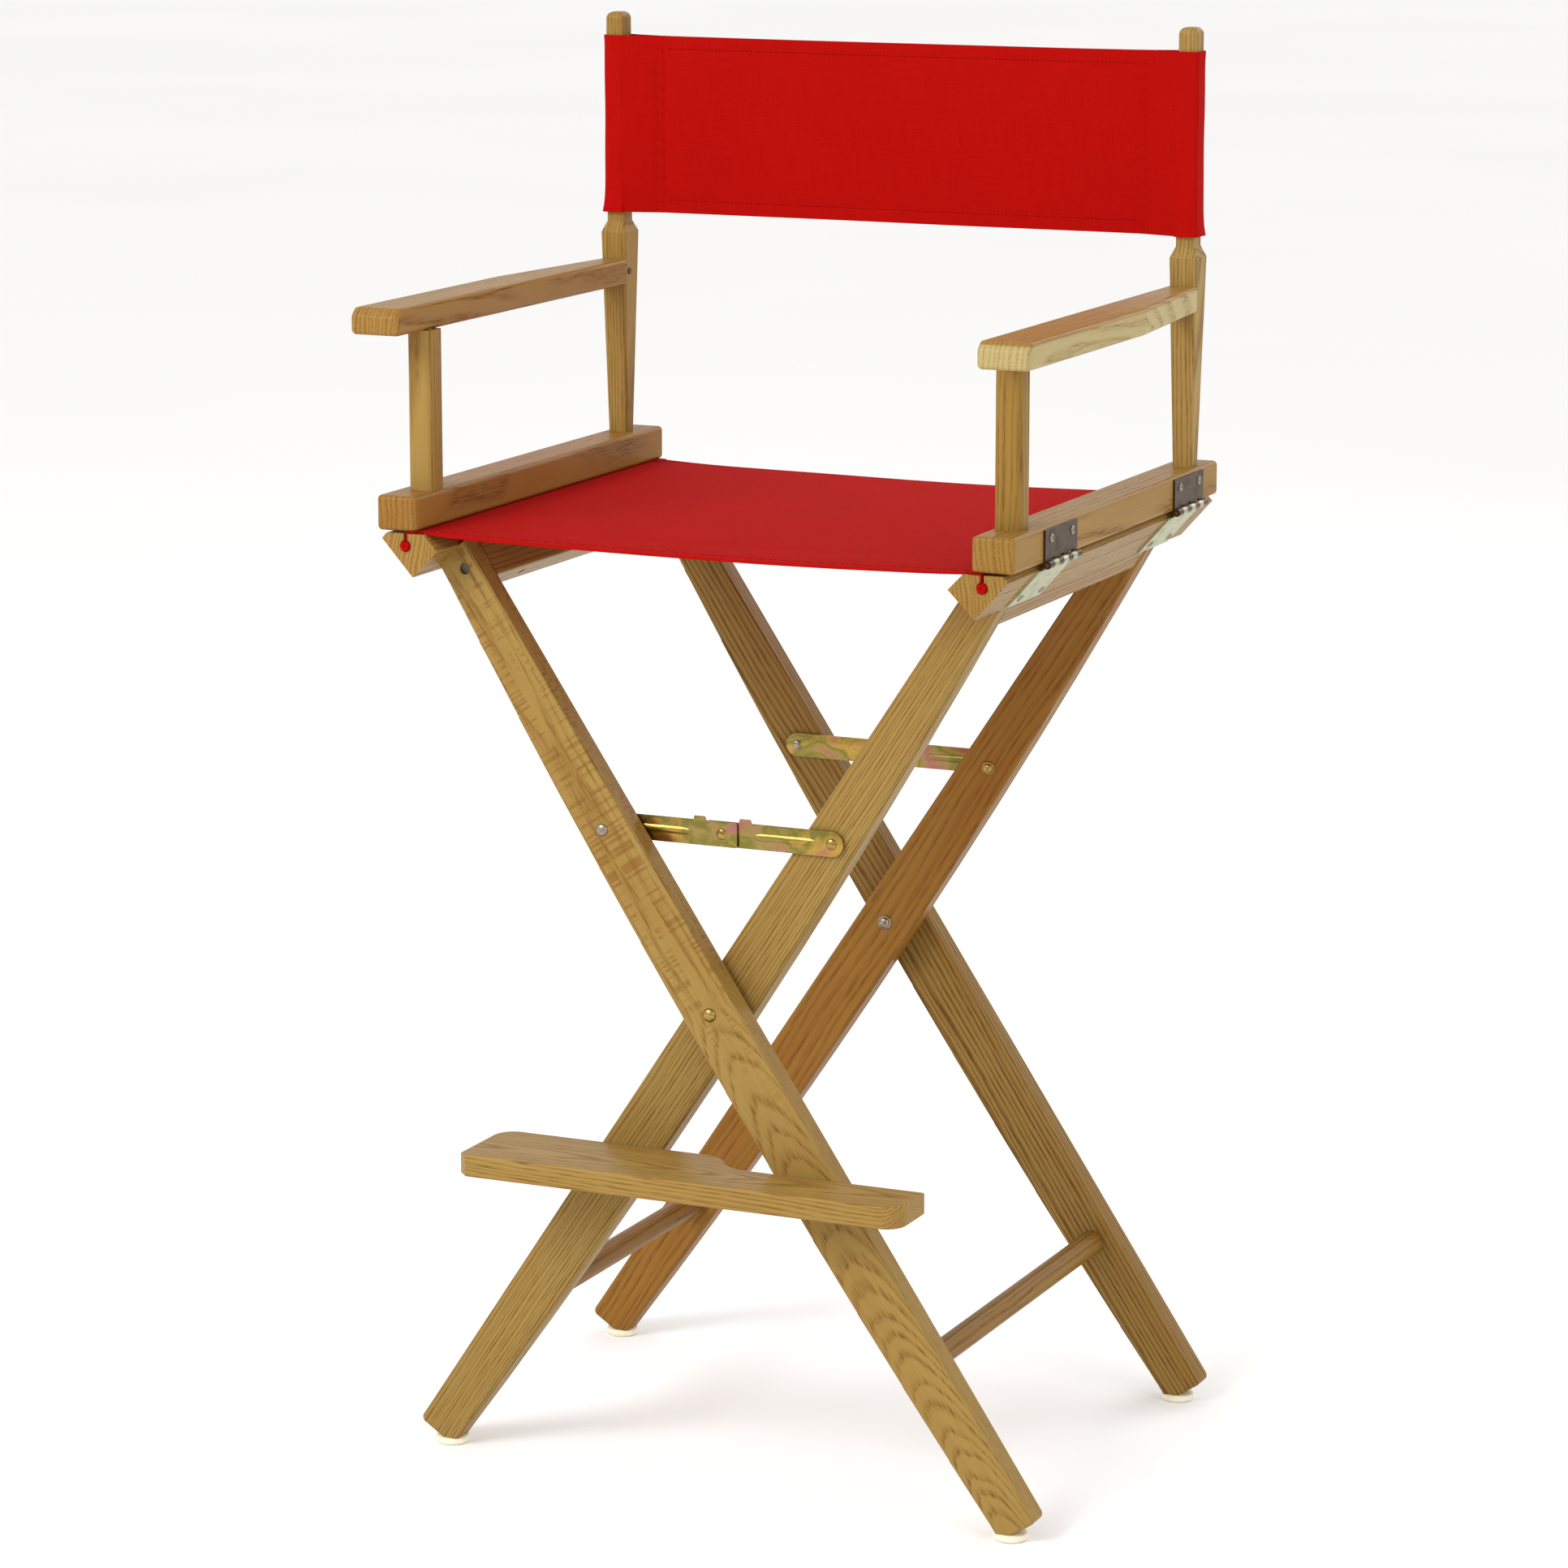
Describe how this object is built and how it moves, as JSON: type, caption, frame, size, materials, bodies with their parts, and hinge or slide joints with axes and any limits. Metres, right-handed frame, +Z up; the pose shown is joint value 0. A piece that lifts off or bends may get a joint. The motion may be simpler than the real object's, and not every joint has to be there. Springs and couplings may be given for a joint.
{
  "type": "folding director chair",
  "caption": "Bar-height folding director chair in clear-lacquered ash with a red canvas seat and back, crossed legs, stay links and a swing-down footrest.",
  "frame": {"origin": "on the floor, under the middle of the rails; centred between the two seat rails from side to side", "axes": "+Z up, -Y the front of the chair, +X towards the viewer's right when facing the front"},
  "size_m": [0.562, 0.4585, 1.141],
  "materials": {
    "ash_wood": "clear satin lacquer",
    "plastic_glide": "moulded",
    "brass_fixing": "brass plated",
    "zinc_brace": "yellow zinc plated",
    "bronze_hinge": "bronzed",
    "zinc_hinge": "clear zinc plated",
    "red_canvas": "woven cotton canvas",
    "hem_dowel": "plain dowel"
  },
  "bodies": {
    "outer_frame": {"leg_outer_front": "ash_wood", "leg_outer_rear": "ash_wood", "stretcher_outer": "ash_wood", "glides_outer": "plastic_glide", "seat_rail_left": "ash_wood", "rail_studs_outer": "zinc_brace", "barrel_nuts_outer": "brass_fixing", "hinge_lower_leaves_left": "zinc_hinge", "hinge_pins_left": "bronze_hinge", "hinge_lower_screws_left": "zinc_hinge", "seat_hem_left": "red_canvas", "seat_rod_left": "hem_dowel", "pivot_bolt_front": "brass_fixing", "pivot_spacers": "zinc_brace", "pivot_nut_rear": "brass_fixing", "brace_screws_outer": "zinc_brace", "footrest_bolt": "brass_fixing", "side_batten_left": "ash_wood"},
    "inner_frame": {"leg_inner_front": "ash_wood", "leg_inner_rear": "ash_wood", "stretcher_inner": "ash_wood", "glides_inner": "plastic_glide", "seat_rail_right": "ash_wood", "rail_studs_inner": "zinc_brace", "barrel_nuts_inner": "brass_fixing", "hinge_lower_leaves_right": "zinc_hinge", "hinge_pins_right": "bronze_hinge", "hinge_lower_screws_right": "zinc_hinge", "seat_hem_right": "red_canvas", "seat_rod_right": "hem_dowel", "pivot_bolt_rear": "brass_fixing", "pivot_nut_front": "brass_fixing", "brace_screws_inner": "zinc_brace", "footrest_peg": "ash_wood", "side_batten_right": "ash_wood"},
    "arm_left": {"arm_rail_left": "ash_wood", "front_post_left": "ash_wood", "back_post_left": "ash_wood", "armrest_left": "ash_wood", "arm_pin_left": "brass_fixing", "hinge_upper_leaves_left": "bronze_hinge", "hinge_upper_screws_left": "brass_fixing"},
    "arm_right": {"arm_rail_right": "ash_wood", "front_post_right": "ash_wood", "back_post_right": "ash_wood", "armrest_right": "ash_wood", "arm_pin_right": "brass_fixing", "hinge_upper_leaves_right": "bronze_hinge", "hinge_upper_screws_right": "brass_fixing"},
    "link_front_left": {"brace_front_left": "zinc_brace", "brace_rivet_front": "zinc_brace"},
    "link_front_right": {"brace_front_right": "zinc_brace"},
    "link_rear_left": {"brace_rear_left": "zinc_brace", "brace_rivet_rear": "zinc_brace"},
    "link_rear_right": {"brace_rear_right": "zinc_brace"},
    "seat_half_left": {"seat_canvas_left": "red_canvas"},
    "seat_half_right": {"seat_canvas_right": "red_canvas"},
    "back_half_left": {"back_canvas_left": "red_canvas"},
    "back_half_right": {"back_canvas_right": "red_canvas"},
    "footrest": {"footrest_board": "ash_wood"}
  },
  "joints": [
    {"name": "fold", "type": "hinge", "parent": "outer_frame", "child": "inner_frame", "pos_m": [0, 0, 0.394], "axis": [0, -1, 0], "range_deg": [0, 55], "deforming": ["seat_canvas_left", "seat_canvas_right", "back_canvas_left", "back_canvas_right"]},
    {"name": "arm_left_fold", "type": "hinge", "parent": "outer_frame", "child": "arm_left", "pos_m": [-0.2692, 0, 0.7626], "axis": [0, -1, 0], "range_deg": [0, 27.6]},
    {"name": "arm_right_fold", "type": "hinge", "parent": "inner_frame", "child": "arm_right", "pos_m": [0.2692, 0, 0.7626], "axis": [0, 1, 0], "range_deg": [0, 27.6]},
    {"name": "brace_front_left_turn", "type": "hinge", "parent": "outer_frame", "child": "link_front_left", "pos_m": [-0.092, -0.16, 0.533], "axis": [0, -1, 0], "range_deg": [0, 106.69]},
    {"name": "brace_front_right_turn", "type": "hinge", "parent": "inner_frame", "child": "link_front_right", "pos_m": [0.092, -0.158, 0.533], "axis": [0, 1, 0], "range_deg": [0, 106.69]},
    {"name": "brace_rear_left_turn", "type": "hinge", "parent": "outer_frame", "child": "link_rear_left", "pos_m": [-0.092, 0.188, 0.533], "axis": [0, -1, 0], "range_deg": [0, 106.69]},
    {"name": "brace_rear_right_turn", "type": "hinge", "parent": "inner_frame", "child": "link_rear_right", "pos_m": [0.092, 0.186, 0.533], "axis": [0, 1, 0], "range_deg": [0, 106.69]},
    {"name": "seat_left_droop", "type": "hinge", "parent": "outer_frame", "child": "seat_half_left", "pos_m": [-0.216, 0, 0.7627], "axis": [0, 1, 0], "range_deg": [0, 56.53]},
    {"name": "seat_right_droop", "type": "hinge", "parent": "inner_frame", "child": "seat_half_right", "pos_m": [0.216, 0, 0.7627], "axis": [0, -1, 0], "range_deg": [0, 56.53]},
    {"name": "back_left_swing", "type": "hinge", "parent": "arm_left", "child": "back_half_left", "pos_m": [-0.252, 0.182, 1.051], "axis": [0, 0, 1], "range_deg": [0, 78.86]},
    {"name": "back_right_swing", "type": "hinge", "parent": "arm_right", "child": "back_half_right", "pos_m": [0.252, 0.182, 1.051], "axis": [0, 0, -1], "range_deg": [0, 78.86]},
    {"name": "footrest_lift", "type": "hinge", "parent": "outer_frame", "child": "footrest", "pos_m": [0.08605, -0.2, 0.264], "axis": [0, 1, 0], "range_deg": [0, 27.6]}
  ],
  "couplings": [
    {"joint": "arm_left_fold", "follows": "fold", "ratio": 0.5},
    {"joint": "arm_right_fold", "follows": "fold", "ratio": 0.5},
    {"joint": "brace_front_left_turn", "follows": "fold", "ratio": 1.938},
    {"joint": "brace_front_right_turn", "follows": "fold", "ratio": 1.938},
    {"joint": "brace_rear_left_turn", "follows": "fold", "ratio": 1.938},
    {"joint": "brace_rear_right_turn", "follows": "fold", "ratio": 1.938},
    {"joint": "seat_left_droop", "follows": "fold", "ratio": 1.026},
    {"joint": "seat_right_droop", "follows": "fold", "ratio": 1.026},
    {"joint": "back_left_swing", "follows": "fold", "ratio": 1.432},
    {"joint": "back_right_swing", "follows": "fold", "ratio": 1.432},
    {"joint": "footrest_lift", "follows": "fold", "ratio": 0.5}
  ]
}
